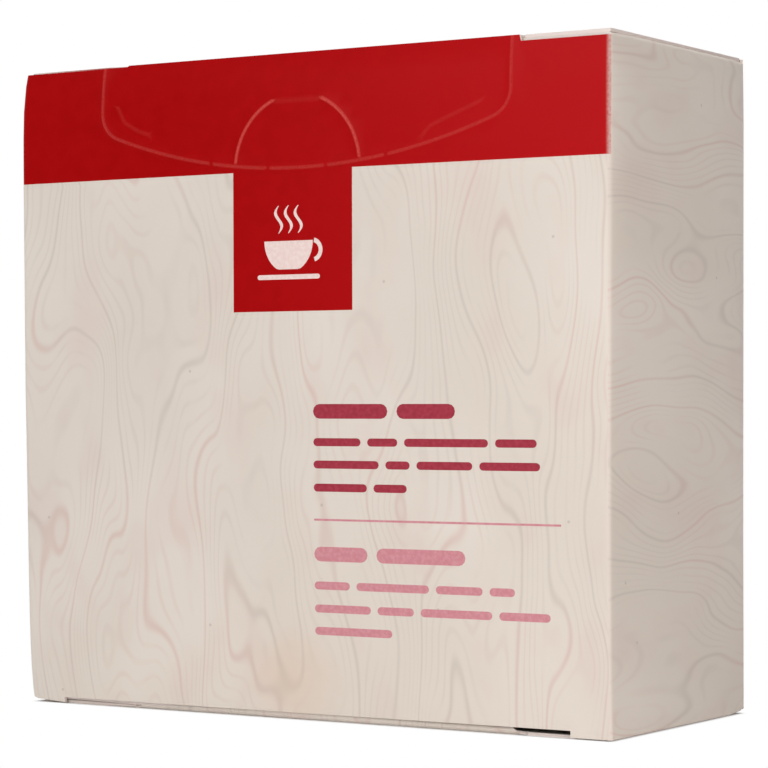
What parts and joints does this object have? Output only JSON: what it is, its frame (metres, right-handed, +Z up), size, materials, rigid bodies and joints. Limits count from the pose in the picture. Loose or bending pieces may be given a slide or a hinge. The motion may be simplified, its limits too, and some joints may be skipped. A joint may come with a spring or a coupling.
{
  "type": "paper tea filter carton",
  "caption": "Closed printed board carton of paper tea filters, with tuck-in end closures, a perforated lid outline and a push-in thumb tab on the front.",
  "frame": {"origin": "middle of the base, on the surface that the carton stands on", "axes": "+X to the right of the front panel, +Y from the front panel to the back, +Z up"},
  "size_m": [0.1, 0.042, 0.096],
  "materials": {
    "printed_board": "satin varnished print on folding boxboard"
  },
  "bodies": {
    "root": {"carton": "printed_board"}
  },
  "joints": []
}
